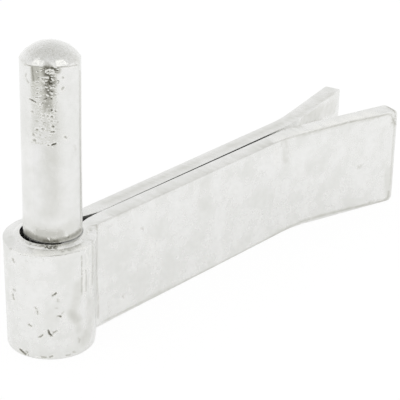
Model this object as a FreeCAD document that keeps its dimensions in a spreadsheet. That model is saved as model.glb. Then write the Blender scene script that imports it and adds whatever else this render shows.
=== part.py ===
import FreeCAD, Part
import math
import os
from collections import namedtuple

import Sketcher

# Masonry gate pintle: a flat bar folded round an upright pin. The eye of the bar holds the pin, the two
# legs run back side by side, and their ends are splayed so that the brickwork holds them.
#
# Frame: the origin is the middle of the pin's foot, +Z runs up the pin, and +X runs back along the legs.
# The front leg is the one on the -Y side. Lengths are millimetres and angles are degrees.

SIZES = {
    # Pin, with a low dome on top, a seat turned down a little inside the eye, and a spread foot
    "pin_diameter": 16.0,
    "pin_straight": 82.2,
    "seat_diameter": 15.6,
    "shoulder_gap": 0.15,
    "dome_rise": 4.2,
    "dome_edge_round": 0.3,
    "rivet_diameter": 19.0,
    "rivet_depth": 1.5,
    # Flat bar
    "bar_width": 32.0,
    "bar_thickness": 5.2,
    "edge_round": 0.45,
    "inner_edge_round": 0.25,
    # Outside of the eye, rolled a little tighter at its foot than at its top
    "eye_top_radius": 12.65,
    "eye_foot_radius": 12.05,
    "eye_setback": 1.1,
    "flank_angle": 40.5,
    # Bore of the eye, set towards -X and +Y, so that it's close behind the pin and loose in front
    "seat_clearance": 0.05,
    "bore_setback": 0.5,
    "bore_offset": 0.24,
    "throat_corner_round": 1.5,
    "throat_round": 24.0,
    "front_throat_end": 17.0,
    "back_throat_end": 21.0,
    "throat_overrun": 3.0,
    # Metal that the bending pushed up round the bore and drew down round the outside
    "lip_height": 0.6,
    "lip_width": 1.8,
    "lip_rim_round": 0.3,
    "lip_rim_inset": 0.15,
    "lip_root": 1.0,
    "dish_radius": 12.4,
    "dish_offset": 1.6,
    "dish_angle": 12.0,
    "dish_reach": 6.0,
    # Legs, from inside the eye to the splayed ends
    "leg_root": 8.0,
    "leg_gap": 0.2,
    "leg_spread": 0.26,
    "bend_round": 40.0,
    "front_bend_start": 94.9,
    "front_splay": 16.2,
    "front_tail": 34.6,
    "back_bend_start": 102.5,
    "back_splay": 11.5,
    "back_tail": 30.1,
    "front_end_top_round": 2.1,
    "back_end_top_round": 0.7,
    "end_foot_round": 1.9,
}

doc = FreeCAD.newDocument("gate_pintle")
sheet = doc.addObject("Spreadsheet::Sheet", "sizes")
for row, (alias, value) in enumerate(SIZES.items(), start=1):
    sheet.set(f"A{row}", alias)
    sheet.set(f"B{row}", str(value))
    sheet.setAlias(f"B{row}", alias)
doc.recompute()

V = FreeCAD.Vector
UP = V(0, 0, 1)
ORIGIN_POINT = (-1, 1)
X_AXIS = -1
Y_AXIS = -2
START, END, CENTRE = 1, 2, 3
FRONT, BACK = -1, 1
NEAR = 1e-4

# A sketch line or arc, with the numbers of the ends that an outline reaches first and last
Piece = namedtuple("Piece", "index first last")


def size(alias):
    """Return a driving size as the sheet holds it."""
    return float(sheet.get(alias))


def bind(item, path, formula):
    """Bind a property or a sketch dimension to a formula whose words in braces are sizes."""
    item.setExpression(path, formula.replace("{", "sizes.").replace("}", ""))


def new_body(label):
    """Start an empty body whose label names the piece."""
    body = doc.addObject("PartDesign::Body", f"{label}_body")
    body.Label = label
    return body


def new_sketch(body, name, plane_role):
    """Start a sketch on one of the body's own origin planes."""
    sketch = body.newObject("Sketcher::SketchObject", name)
    plane = next(item for item in body.Origin.OriginFeatures if item.Role == plane_role)
    sketch.AttachmentSupport = [(plane, "")]
    sketch.MapMode = "FlatFace"
    return sketch


def add_line(sketch, first, last):
    """Add a straight piece from one point to another."""
    return Piece(sketch.addGeometry(Part.LineSegment(first, last)), START, END)


def add_arc(sketch, centre, first, last, turn):
    """Add an arc that turns left (1) or right (-1) from one point to another about its centre."""
    low, high = (first, last) if turn > 0 else (last, first)
    low_angle = math.atan2(low.y - centre.y, low.x - centre.x)
    high_angle = math.atan2(high.y - centre.y, high.x - centre.x)
    if high_angle <= low_angle:
        high_angle += 2 * math.pi
    circle = Part.Circle(centre, UP, (first - centre).Length)
    index = sketch.addGeometry(Part.ArcOfCircle(circle, low_angle, high_angle))
    return Piece(index, START, END) if turn > 0 else Piece(index, END, START)


def rule(sketch, kind, *args):
    """Add a constraint that has no size."""
    return sketch.addConstraint(Sketcher.Constraint(kind, *args))


def dimension(sketch, name, kind, *args, value, formula):
    """Add a named dimension to a sketch, at its present value, and bind it to the sheet."""
    index = sketch.addConstraint(Sketcher.Constraint(kind, *args, value))
    sketch.renameConstraint(index, name)
    bind(sketch, f"Constraints.{name}", formula)


def corner(sketch, piece, following):
    """Join the end of one piece to the start of the next at a corner."""
    rule(sketch, "Coincident", piece.index, piece.last, following.index, following.first)


def blend(sketch, piece, following):
    """Join the end of one piece to the start of the next without a corner."""
    rule(sketch, "Tangent", piece.index, piece.last, following.index, following.first)


def place(sketch, name, point, right=None, left=None, above=None, below=None):
    """Dimension a point's distances to the sides of the sketch's origin."""
    here = sketch.getPoint(*point)
    outward = (*ORIGIN_POINT, *point)
    inward = (*point, *ORIGIN_POINT)
    if right:
        dimension(sketch, f"{name}_right", "DistanceX", *outward, value=here.x, formula=right)
    if left:
        dimension(sketch, f"{name}_left", "DistanceX", *inward, value=-here.x, formula=left)
    if above:
        dimension(sketch, f"{name}_above", "DistanceY", *outward, value=here.y, formula=above)
    if below:
        dimension(sketch, f"{name}_below", "DistanceY", *inward, value=-here.y, formula=below)


def set_radius(sketch, name, arc, formula):
    """Dimension an arc's radius."""
    radius = sketch.Geometry[arc.index].Radius
    dimension(sketch, name, "Radius", arc.index, value=radius, formula=formula)


def set_slope(sketch, name, line, degrees, formula):
    """Dimension the slope of a line, from its start, against the X axis."""
    dimension(sketch, name, "Angle", line.index, value=math.radians(degrees), formula=formula)


def add_axis(sketch, formula, distance, side):
    """Add the upright construction line that a section is turned about, to one side of the origin."""
    across = distance if side == "right" else -distance
    line = add_line(sketch, V(across, 0, 0), V(across, size("bar_width"), 0))
    sketch.toggleConstruction(line.index)
    rule(sketch, "Vertical", line.index)
    rule(sketch, "PointOnObject", line.index, line.first, X_AXIS)
    place(sketch, "axis", (line.index, line.first), **{side: formula})
    place(sketch, "axis_top", (line.index, line.last), above="{bar_width}")


def finish(sketch):
    """Check that a sketch is solved and that no size in it is left free."""
    doc.recompute()
    if not sketch.FullyConstrained or sketch.ConflictingConstraints or sketch.RedundantConstraints:
        raise RuntimeError(f"{sketch.Name} isn't fully and singly dimensioned")


def revolve(body, kind, name, sketch, axis):
    """Turn a sketch once round, to add metal (Revolution) or to cut it (Groove)."""
    feature = body.newObject(f"PartDesign::{kind}", name)
    feature.Profile = sketch
    feature.ReferenceAxis = (sketch, [axis])
    feature.Angle = 360.0
    doc.recompute()
    return feature


def round_edges(body, name, edges, formula):
    """Round some edges of the body's shape as it stands."""
    feature = body.newObject("PartDesign::Fillet", name)
    feature.Base = (feature.BaseFeature, edges)
    bind(feature, "Radius", formula)
    doc.recompute()
    return feature


def edges_where(shape, wanted):
    """Name the edges of a shape that pass a test."""
    return [f"Edge{number}" for number, edge in enumerate(shape.Edges, start=1) if wanted(edge)]


def middle(edge):
    """Return the point halfway along an edge."""
    return edge.valueAt((edge.FirstParameter + edge.LastParameter) / 2)


# Pin

def draw_pin_half(sketch):
    """Draw half of the pin's long section, with the pin's middle line on the sketch's Y axis."""
    radius = size("pin_diameter") / 2
    straight = size("pin_straight")
    rise = size("dome_rise")
    dome_radius = (radius**2 + rise**2) / (2 * rise)
    seat_radius = size("seat_diameter") / 2
    seat_top = size("bar_width") + size("lip_height") + size("shoulder_gap")
    foot = V(0, 0, 0)
    foot_edge = V(size("rivet_diameter") / 2, 0, 0)
    waist = V(seat_radius, size("rivet_depth"), 0)
    dome_edge = V(radius, straight, 0)
    crown = V(0, straight + rise, 0)
    centre = V(0, straight + rise - dome_radius, 0)

    base = add_line(sketch, foot, foot_edge)
    rivet = add_line(sketch, foot_edge, waist)
    seat = add_line(sketch, waist, V(seat_radius, seat_top, 0))
    shoulder = add_line(sketch, V(seat_radius, seat_top, 0), V(radius, seat_top, 0))
    side = add_line(sketch, V(radius, seat_top, 0), dome_edge)
    dome = add_arc(sketch, centre, dome_edge, crown, 1)
    core = add_line(sketch, crown, foot)
    corner(sketch, base, rivet)
    corner(sketch, rivet, seat)
    corner(sketch, seat, shoulder)
    corner(sketch, shoulder, side)
    corner(sketch, side, dome)
    corner(sketch, dome, core)
    corner(sketch, core, base)
    rule(sketch, "Coincident", base.index, base.first, *ORIGIN_POINT)
    rule(sketch, "Horizontal", base.index)
    rule(sketch, "Vertical", seat.index)
    rule(sketch, "Horizontal", shoulder.index)
    rule(sketch, "Vertical", side.index)
    rule(sketch, "Vertical", core.index)
    rule(sketch, "PointOnObject", dome.index, CENTRE, Y_AXIS)
    place(sketch, "rivet", (rivet.index, rivet.first), right="{rivet_diameter} / 2")
    place(sketch, "waist", (seat.index, seat.first), right="{seat_diameter} / 2", above="{rivet_depth}")
    shoulder_height = "{bar_width} + {lip_height} + {shoulder_gap}"
    place(sketch, "shoulder", (side.index, side.first), right="{pin_diameter} / 2", above=shoulder_height)
    place(sketch, "dome_edge", (side.index, side.last), above="{pin_straight}")
    place(sketch, "crown", (core.index, core.first), above="{pin_straight} + {dome_rise}")


pin = new_body("pin")
pin_half = new_sketch(pin, "pin_half", "XZ_Plane")
draw_pin_half(pin_half)
finish(pin_half)
pin_bar = revolve(pin, "Revolution", "pin_bar", pin_half, "V_Axis")


def is_dome_edge(edge):
    """Tell the rim where the dome meets the straight side of the pin."""
    rim = edge.BoundBox
    return rim.ZLength < NEAR and abs(rim.ZMin - size("pin_straight")) < NEAR


round_edges(pin, "dome_edge", edges_where(pin_bar.Shape, is_dome_edge), "{dome_edge_round}")


# Strap: the outside of its eye

def draw_eye_foot(sketch):
    """Draw the foot of the eye: an arc round the pin and two flanks that run in to the legs."""
    radius = size("eye_foot_radius")
    slope = math.radians(size("flank_angle"))
    centre = V(-size("eye_setback"), 0, 0)
    tip = centre + V(radius / math.sin(slope), 0, 0)
    touch = centre + V(radius * math.sin(slope), radius * math.cos(slope), 0)
    opposite = V(touch.x, -touch.y, 0)

    back = add_line(sketch, tip, touch)
    arc = add_arc(sketch, centre, touch, opposite, 1)
    front = add_line(sketch, opposite, tip)
    blend(sketch, back, arc)
    blend(sketch, arc, front)
    corner(sketch, front, back)
    rule(sketch, "PointOnObject", arc.index, CENTRE, X_AXIS)
    rule(sketch, "PointOnObject", back.index, back.first, X_AXIS)
    place(sketch, "centre", (arc.index, CENTRE), left="{eye_setback}")
    set_radius(sketch, "foot_radius", arc, "{eye_foot_radius}")
    set_slope(sketch, "flank", front, size("flank_angle"), "{flank_angle}")


def draw_dish(sketch):
    """Draw what is cut off the top of the eye, which falls away from the bore at the dish's angle."""
    axis = size("dish_offset")
    reach = size("dish_radius") + size("dish_reach")
    top = size("bar_width")
    drop = size("dish_reach") * math.tan(math.radians(size("dish_angle")))
    inside = V(axis + size("dish_radius"), top, 0)
    outside = V(axis + reach, top - drop, 0)
    above = V(axis + reach, top, 0)

    slope = add_line(sketch, outside, inside)
    level = add_line(sketch, inside, above)
    side = add_line(sketch, above, outside)
    corner(sketch, slope, level)
    corner(sketch, level, side)
    corner(sketch, side, slope)
    rule(sketch, "Horizontal", level.index)
    rule(sketch, "Vertical", side.index)
    place(sketch, "rim", (level.index, level.first), right="{dish_offset} + {dish_radius}", above="{bar_width}")
    place(sketch, "reach", (side.index, side.first), right="{dish_offset} + {dish_radius} + {dish_reach}")
    set_slope(sketch, "fall", slope, 180 - size("dish_angle"), "180 - {dish_angle}")
    add_axis(sketch, "{dish_offset}", size("dish_offset"), "right")


strap = new_body("strap")
eye_foot = new_sketch(strap, "eye_foot", "XY_Plane")
draw_eye_foot(eye_foot)
finish(eye_foot)
eye_block = strap.newObject("PartDesign::Pad", "eye_block")
eye_block.Profile = eye_foot
bind(eye_block, "Length", "{bar_width}")
bind(eye_block, "TaperAngle", "atan(({eye_top_radius} - {eye_foot_radius}) / {bar_width})")
doc.recompute()

dish = new_sketch(strap, "dish", "XZ_Plane")
draw_dish(dish)
finish(dish)
revolve(strap, "Groove", "dished_top", dish, "Axis0")


# Strap: its two legs

def draw_leg(sketch, side, name):
    """Draw one leg: a straight run that leaves its fellow slowly, a bend, and a splayed tail."""
    spread = math.radians(size("leg_spread"))
    splay = math.radians(size(f"{name}_splay"))
    outer_round = size("bend_round")
    inner_round = outer_round + size("bar_thickness")
    start = size("leg_root")
    half_gap = size("leg_gap") / 2 - (size(f"{name}_throat_end") - start) * math.tan(spread)
    run = (size(f"{name}_bend_start") - start + inner_round * math.sin(spread)) / math.cos(spread)
    centre = V(size(f"{name}_bend_start"), half_gap + run * math.sin(spread) + inner_round * math.cos(spread), 0)

    def on_bend(radius, angle):
        return centre + V(math.sin(angle), -math.cos(angle), 0) * radius

    tail = V(math.cos(splay), math.sin(splay), 0) * size(f"{name}_tail")
    bend_out = on_bend(outer_round, spread)
    outer_root = bend_out - V(1, math.tan(spread), 0) * (bend_out.x - start)

    def here(point):
        return V(point.x, side * point.y, 0)

    inner = add_line(sketch, here(V(start, half_gap, 0)), here(on_bend(inner_round, spread)))
    inner_bend = add_arc(
        sketch, here(centre), here(on_bend(inner_round, spread)), here(on_bend(inner_round, splay)), side)
    inner_tail = add_line(sketch, here(on_bend(inner_round, splay)), here(on_bend(inner_round, splay) + tail))
    end = add_line(sketch, here(on_bend(inner_round, splay) + tail), here(on_bend(outer_round, splay) + tail))
    outer_tail = add_line(sketch, here(on_bend(outer_round, splay) + tail), here(on_bend(outer_round, splay)))
    outer_bend = add_arc(sketch, here(centre), here(on_bend(outer_round, splay)), here(bend_out), -side)
    outer = add_line(sketch, here(bend_out), here(outer_root))
    root = add_line(sketch, here(outer_root), here(V(start, half_gap, 0)))

    blend(sketch, inner, inner_bend)
    blend(sketch, inner_bend, inner_tail)
    corner(sketch, inner_tail, end)
    corner(sketch, end, outer_tail)
    blend(sketch, outer_tail, outer_bend)
    blend(sketch, outer_bend, outer)
    corner(sketch, outer, root)
    corner(sketch, root, inner)
    rule(sketch, "Coincident", inner_bend.index, CENTRE, outer_bend.index, CENTRE)
    rule(sketch, "Perpendicular", end.index, inner_tail.index)
    rule(sketch, "Parallel", outer.index, inner.index)
    rule(sketch, "Parallel", outer_tail.index, inner_tail.index)
    rule(sketch, "Vertical", root.index)

    away = "above" if side == BACK else "below"
    sign = "" if side == BACK else "-"
    throat_formula = f"{{{name}_throat_end}} - {{leg_root}}"
    half_gap_formula = f"{{leg_gap}} / 2 - ({throat_formula}) * tan({{leg_spread}} * 1 deg)"
    place(sketch, f"{name}_root", (inner.index, inner.first), right="{leg_root}", **{away: half_gap_formula})
    place(sketch, f"{name}_bend", (inner_bend.index, CENTRE), right=f"{{{name}_bend_start}}")
    set_slope(sketch, f"{name}_run", inner, side * size("leg_spread"), f"{sign}{{leg_spread}}")
    set_slope(sketch, f"{name}_splay", inner_tail, side * size(f"{name}_splay"), f"{sign}{{{name}_splay}}")
    set_radius(sketch, f"{name}_outer_bend", outer_bend, "{bend_round}")
    set_radius(sketch, f"{name}_inner_bend", inner_bend, "{bend_round} + {bar_thickness}")
    dimension(sketch, f"{name}_tail", "Distance", inner_tail.index, value=tail.Length, formula=f"{{{name}_tail}}")


leg_plan = new_sketch(strap, "leg_plan", "XY_Plane")
draw_leg(leg_plan, FRONT, "front")
draw_leg(leg_plan, BACK, "back")
finish(leg_plan)
legs = strap.newObject("PartDesign::Pad", "legs")
legs.Profile = leg_plan
bind(legs, "Length", "{bar_width}")
doc.recompute()


# Strap: the bore that the pin stands in, and the throat behind it

BORE_RADIUS = "({seat_diameter} / 2 + sqrt({bore_setback}^2 + {bore_offset}^2) + {seat_clearance})"


def bore_radius():
    """Return the bore's radius: the seat's, plus the bore's shift and the clearance left opposite it."""
    shift = math.hypot(size("bore_setback"), size("bore_offset"))
    return size("seat_diameter") / 2 + shift + size("seat_clearance")


def draw_lip(sketch):
    """Draw the section of the lip that stands round the bore, from its rim down to the eye's top."""
    left = bore_radius() - size("bore_setback") - size("lip_rim_inset")
    right = bore_radius() - size("bore_setback") + size("lip_width")
    crest = left + size("lip_rim_round")
    top = size("bar_width") + size("lip_height")
    low = size("bar_width") - size("lip_root")
    rim_centre = V(crest, top - size("lip_rim_round"), 0)
    width = right - crest
    slope_radius = (width**2 + size("lip_height") ** 2) / (2 * size("lip_height"))

    wall = add_line(sketch, V(left, low, 0), V(left, rim_centre.y, 0))
    rim = add_arc(sketch, rim_centre, V(left, rim_centre.y, 0), V(crest, top, 0), -1)
    slope = add_arc(
        sketch, V(crest, top - slope_radius, 0), V(crest, top, 0), V(right, size("bar_width"), 0), -1)
    outside = add_line(sketch, V(right, size("bar_width"), 0), V(right, low, 0))
    floor = add_line(sketch, V(right, low, 0), V(left, low, 0))
    blend(sketch, wall, rim)
    blend(sketch, rim, slope)
    corner(sketch, slope, outside)
    corner(sketch, outside, floor)
    corner(sketch, floor, wall)
    rule(sketch, "Vertical", wall.index)
    rule(sketch, "Vertical", outside.index)
    rule(sketch, "Horizontal", floor.index)
    rule(sketch, "Vertical", rim.index, CENTRE, rim.index, rim.last)
    left_formula = BORE_RADIUS + " - {bore_setback} - {lip_rim_inset}"
    right_formula = BORE_RADIUS + " - {bore_setback} + {lip_width}"
    place(sketch, "wall", (wall.index, wall.first), right=left_formula, above="{bar_width} - {lip_root}")
    place(sketch, "crest", (rim.index, rim.last), above="{bar_width} + {lip_height}")
    place(sketch, "foot", (slope.index, slope.last), right=right_formula, above="{bar_width}")
    set_radius(sketch, "rim_round", rim, "{lip_rim_round}")
    add_axis(sketch, "{bore_setback}", size("bore_setback"), "left")


def meet(first, first_reach, second, second_reach):
    """Return the point on the -Y side that lies at the given distances from two centres."""
    apart = second - first
    along = (first_reach**2 - second_reach**2 + apart.Length**2) / (2 * apart.Length)
    aside = math.sqrt(first_reach**2 - along**2)
    ahead = V(apart).normalize()
    across = V(ahead.y, -ahead.x, 0)
    points = [first + ahead * along + across * aside, first + ahead * along - across * aside]
    return max(points, key=lambda point: point.x)


def plan_throat(side, name):
    """Work out one side of the throat: its two centres, the points where they touch, and its two ends."""
    spread = math.radians(size("leg_spread"))
    corner_round = size("throat_corner_round")
    throat_round = size("throat_round")
    bore_centre = V(-size("bore_setback"), -side * size("bore_offset"), 0)
    pinch = V(size(f"{name}_throat_end"), -size("leg_gap") / 2, 0)
    throat_centre = pinch + V(-math.sin(spread), -math.cos(spread), 0) * throat_round
    corner_centre = meet(bore_centre, bore_radius() + corner_round, throat_centre, throat_round - corner_round)
    slot_reach = size("back_throat_end") + size("throat_overrun") - pinch.x
    points = {
        "throat_centre": throat_centre,
        "corner_centre": corner_centre,
        "bore_touch": bore_centre + (corner_centre - bore_centre).normalize() * bore_radius(),
        "throat_touch": throat_centre + (corner_centre - throat_centre).normalize() * throat_round,
        "pinch": pinch,
        "slot_end": pinch + V(1, -math.tan(spread), 0) * slot_reach,
    }
    return {key: V(point.x, -side * point.y, 0) for key, point in points.items()}


def draw_bore(sketch):
    """Draw the bore and its throat: a round hole whose back runs out between the legs."""
    front = plan_throat(FRONT, "front")
    back = plan_throat(BACK, "back")
    bore_centre = V(-size("bore_setback"), size("bore_offset"), 0)

    hole = add_arc(sketch, bore_centre, back["bore_touch"], front["bore_touch"], 1)
    front_corner = add_arc(sketch, front["corner_centre"], front["bore_touch"], front["throat_touch"], -1)
    front_throat = add_arc(sketch, front["throat_centre"], front["throat_touch"], front["pinch"], -1)
    front_slot = add_line(sketch, front["pinch"], front["slot_end"])
    close = add_line(sketch, front["slot_end"], back["slot_end"])
    back_slot = add_line(sketch, back["slot_end"], back["pinch"])
    back_throat = add_arc(sketch, back["throat_centre"], back["pinch"], back["throat_touch"], -1)
    back_corner = add_arc(sketch, back["corner_centre"], back["throat_touch"], back["bore_touch"], -1)

    blend(sketch, hole, front_corner)
    blend(sketch, front_corner, front_throat)
    blend(sketch, front_throat, front_slot)
    corner(sketch, front_slot, close)
    corner(sketch, close, back_slot)
    blend(sketch, back_slot, back_throat)
    blend(sketch, back_throat, back_corner)
    blend(sketch, back_corner, hole)
    rule(sketch, "Equal", back_corner.index, front_corner.index)
    rule(sketch, "Equal", back_throat.index, front_throat.index)
    rule(sketch, "Vertical", close.index)
    place(sketch, "hole", (hole.index, CENTRE), left="{bore_setback}", above="{bore_offset}")
    set_radius(sketch, "hole_radius", hole, BORE_RADIUS)
    set_radius(sketch, "corner_round", front_corner, "{throat_corner_round}")
    set_radius(sketch, "throat_round", front_throat, "{throat_round}")
    set_slope(sketch, "front_slot", front_slot, -size("leg_spread"), "-{leg_spread}")
    set_slope(sketch, "back_slot", back_slot, 180 + size("leg_spread"), "180 + {leg_spread}")
    front_pinch = (front_slot.index, front_slot.first)
    back_pinch = (back_slot.index, back_slot.last)
    place(sketch, "front_pinch", front_pinch, right="{front_throat_end}", below="{leg_gap} / 2")
    place(sketch, "back_pinch", back_pinch, right="{back_throat_end}", above="{leg_gap} / 2")
    place(sketch, "slot_end", (close.index, close.first), right="{back_throat_end} + {throat_overrun}")


def draw_countersink(sketch):
    """Draw half of the cone at the eye's foot that the pin's spread foot fills."""
    rivet = V(size("rivet_diameter") / 2, 0, 0)
    waist = V(size("seat_diameter") / 2, size("rivet_depth"), 0)
    base = add_line(sketch, V(0, 0, 0), rivet)
    cone = add_line(sketch, rivet, waist)
    top = add_line(sketch, waist, V(0, waist.y, 0))
    core = add_line(sketch, V(0, waist.y, 0), V(0, 0, 0))
    corner(sketch, base, cone)
    corner(sketch, cone, top)
    corner(sketch, top, core)
    corner(sketch, core, base)
    rule(sketch, "Coincident", base.index, base.first, *ORIGIN_POINT)
    rule(sketch, "Horizontal", base.index)
    rule(sketch, "Horizontal", top.index)
    rule(sketch, "Vertical", core.index)
    place(sketch, "rivet", (cone.index, cone.first), right="{rivet_diameter} / 2")
    place(sketch, "waist", (cone.index, cone.last), right="{seat_diameter} / 2", above="{rivet_depth}")


lip = new_sketch(strap, "lip", "XZ_Plane")
bind(lip, "AttachmentOffset.Base.z", "-{bore_offset}")
draw_lip(lip)
finish(lip)
revolve(strap, "Revolution", "bore_lip", lip, "Axis0")

bore_plan = new_sketch(strap, "bore_plan", "XY_Plane")
draw_bore(bore_plan)
finish(bore_plan)
bore_cut = strap.newObject("PartDesign::Pocket", "bore")
bore_cut.Profile = bore_plan
bore_cut.Type = "ThroughAll"
bore_cut.Reversed = True
doc.recompute()

countersink = new_sketch(strap, "countersink", "XZ_Plane")
draw_countersink(countersink)
finish(countersink)
rivet_seat = revolve(strap, "Groove", "rivet_seat", countersink, "V_Axis")


# Strap: its rounded ends and edges

def is_end_corner(side, level):
    """Return a test for the short edges across the end of one leg, or of both, at one level."""
    def wanted(edge):
        box = edge.BoundBox
        flat = box.ZLength < NEAR and abs(box.ZMin - level) < NEAR
        across = abs(edge.Length - size("bar_thickness")) < NEAR and box.XMin > size("front_bend_start")
        return flat and across and (side is None or side * box.YMin > 0)
    return wanted


for name, side, level, formula in (
    ("front_end_top", FRONT, size("bar_width"), "{front_end_top_round}"),
    ("back_end_top", BACK, size("bar_width"), "{back_end_top_round}"),
    ("end_foot", None, 0.0, "{end_foot_round}"),
):
    round_edges(strap, name, edges_where(strap.Tip.Shape, is_end_corner(side, level)), formula)


def is_low_or_high(edge):
    """Tell the edges at the bar's foot, and those at its top or on the dish that falls away from it."""
    level = middle(edge).z
    return level < NEAR or level > size("bar_width") - size("dish_reach") * math.tan(math.radians(size("dish_angle")))


def looks_at_fellow(face):
    """Tell the upright faces of the legs that look across the gap between them."""
    low_u, high_u, low_v, high_v = face.ParameterRange
    normal = face.normalAt((low_u + high_u) / 2, (low_v + high_v) / 2)
    behind = face.BoundBox.XMin > size("front_throat_end") - NEAR
    return behind and normal.y * face.CenterOfMass.y < 0 and abs(normal.y) > abs(normal.x)


def gap_edges(shape):
    """Name the long edges along the gap between the legs."""
    faces = [face for face in shape.Faces if looks_at_fellow(face)]
    edges = [edge for face in faces for edge in face.Edges if is_low_or_high(edge) and edge.BoundBox.ZLength < NEAR]
    return edges_where(shape, lambda edge: any(edge.isSame(other) for other in edges))


def outline_edges(shape):
    """Name the long edges round the outside of the eye and along the outer faces of the legs."""
    def wanted(edge):
        point = middle(edge)
        from_eye = math.hypot(point.x + size("eye_setback"), point.y)
        clear_of_bore = from_eye > size("eye_foot_radius") - size("edge_round")
        return clear_of_bore and abs(point.y) > size("bar_thickness") / 2 and is_low_or_high(edge)

    inner = gap_edges(shape)
    return [name for name in edges_where(shape, wanted) if name not in inner]


round_edges(strap, "gap_edges", gap_edges(strap.Tip.Shape), "{inner_edge_round}")
round_edges(strap, "bar_edges", outline_edges(strap.Tip.Shape), "{edge_round}")


def check_and_write():
    """Stop if anything failed, and otherwise write each piece to a file of its own."""
    doc.recompute()
    failed = [item.Name for item in doc.Objects if {"Invalid", "Error"} & set(item.State)]
    if failed:
        raise RuntimeError(f"these objects failed: {failed}")
    os.makedirs("parts", exist_ok=True)
    for body in (strap, pin):
        if body.Shape.isNull() or not body.Shape.isValid():
            raise RuntimeError(f"{body.Label} has no valid shape")
        body.Shape.exportStep(f"parts/{body.Label}.step")
        print(body.Label, "solids", len(body.Shape.Solids), "volume", round(body.Shape.Volume, 1))


check_and_write()
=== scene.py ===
import math
import random
from collections import namedtuple

import bmesh
import bpy
import numpy as np
from mathutils import Matrix, Vector, noise


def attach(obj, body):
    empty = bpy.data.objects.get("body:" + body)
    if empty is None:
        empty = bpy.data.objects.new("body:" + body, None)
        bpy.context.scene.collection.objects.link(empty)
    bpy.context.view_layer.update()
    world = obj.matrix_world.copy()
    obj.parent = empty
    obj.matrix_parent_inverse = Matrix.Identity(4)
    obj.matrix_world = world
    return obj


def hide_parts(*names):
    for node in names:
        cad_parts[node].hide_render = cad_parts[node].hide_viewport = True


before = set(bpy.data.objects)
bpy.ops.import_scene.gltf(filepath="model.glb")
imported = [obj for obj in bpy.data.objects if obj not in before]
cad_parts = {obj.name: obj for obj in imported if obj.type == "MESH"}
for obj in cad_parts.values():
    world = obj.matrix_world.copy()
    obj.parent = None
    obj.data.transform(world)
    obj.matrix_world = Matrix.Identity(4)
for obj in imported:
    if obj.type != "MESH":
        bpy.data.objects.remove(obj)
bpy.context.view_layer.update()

# Masonry gate pintle in bright zinc plating: a flat bar folded round an upright pin. Lengths are metres in
# the CAD frame, with the origin in the middle of the pin's foot, +Z up the pin and +X back along the legs.

MM = 0.001

# The photograph's camera. Places in the photograph are pixels from its top left corner.
PICTURE = 400
LOOK_AZIMUTH = math.radians(39.735)
LOOK_DOWN = math.radians(24.78)
LOOK_ROLL = math.radians(1.404)
FOCAL_PIXELS = 1715.318
SENSOR = 36.0
AIM_POINT = Vector((0, 0, 50)) * MM
AIM_PIXEL = (51.822, 171.254)
AIM_DISTANCE = 453.392 * MM
NEAREST_SEEN = 0.01
FARTHEST_SEEN = 50


def look_axes():
    """Return the camera's right, up and forward directions."""
    flat = math.cos(LOOK_DOWN)
    forward = Vector((math.cos(LOOK_AZIMUTH) * flat, math.sin(LOOK_AZIMUTH) * flat, -math.sin(LOOK_DOWN)))
    level = Vector((math.sin(LOOK_AZIMUTH), -math.cos(LOOK_AZIMUTH), 0))
    upright = level.cross(forward)
    right = level * math.cos(LOOK_ROLL) + upright * math.sin(LOOK_ROLL)
    up = upright * math.cos(LOOK_ROLL) - level * math.sin(LOOK_ROLL)
    return right, up, forward


RIGHT, UP, FORWARD = look_axes()


def sight_line(pixel):
    """Return the direction in which the camera sees a pixel."""
    across = (pixel[0] - PICTURE / 2) / FOCAL_PIXELS
    down = (pixel[1] - PICTURE / 2) / FOCAL_PIXELS
    return FORWARD + RIGHT * across - UP * down


EYE_POINT = AIM_POINT - sight_line(AIM_PIXEL) * AIM_DISTANCE


def set_camera():
    """Stand the camera where the photograph was taken from."""
    lens = bpy.data.cameras.new("camera")
    lens.sensor_width = SENSOR
    lens.lens = FOCAL_PIXELS * SENSOR / PICTURE
    lens.clip_start = NEAREST_SEEN
    lens.clip_end = FARTHEST_SEEN
    camera = bpy.data.objects.new("camera", lens)
    turn = Matrix((RIGHT, UP, -FORWARD)).transposed().to_4x4()
    camera.matrix_world = Matrix.Translation(EYE_POINT) @ turn
    bpy.context.scene.collection.objects.link(camera)
    bpy.context.scene.camera = camera


# Work at the bench

SAME_PLACE = 0.001 * MM
SHORTEST_RUN = 1e-9


def take(piece):
    """Make a piece the only one selected."""
    bpy.ops.object.select_all(action="DESELECT")
    piece.select_set(True)
    bpy.context.view_layer.objects.active = piece


def open_mesh(piece, select="NONE"):
    """Go into edit mode on a piece, with all of it selected or nothing."""
    take(piece)
    bpy.ops.object.mode_set(mode="EDIT")
    bpy.ops.mesh.select_mode(type="VERT")
    bpy.ops.mesh.select_all(action="SELECT" if select == "ALL" else "DESELECT")


def close_mesh():
    """Leave edit mode."""
    bpy.ops.object.mode_set(mode="OBJECT")


def face_middles(piece):
    """Return the middles of a piece's faces."""
    faces = piece.data.polygons
    middles = np.empty(len(faces) * 3)
    faces.foreach_get("center", middles)
    return middles.reshape(-1, 3)


def open_faces(piece, chosen):
    """Go into edit mode on a piece with the chosen faces selected."""
    open_mesh(piece)
    bpy.ops.mesh.select_mode(type="FACE")
    close_mesh()
    piece.data.polygons.foreach_set("select", chosen)
    bpy.ops.object.mode_set(mode="EDIT")


def slice_mesh(point, normal):
    """Cut all that shows along a plane, in edit mode."""
    bpy.ops.mesh.select_all(action="SELECT")
    bpy.ops.mesh.bisect(plane_co=point, plane_no=normal)


def refine(piece, chosen, cuts):
    """Divide the chosen faces more finely."""
    open_faces(piece, chosen)
    bpy.ops.mesh.subdivide(number_cuts=cuts)
    close_mesh()


def steps(first, last, step):
    """Count from one length to another in even steps."""
    count = int(round((last - first) / step))
    return [first + (last - first) * number / count for number in range(count + 1)]


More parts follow.
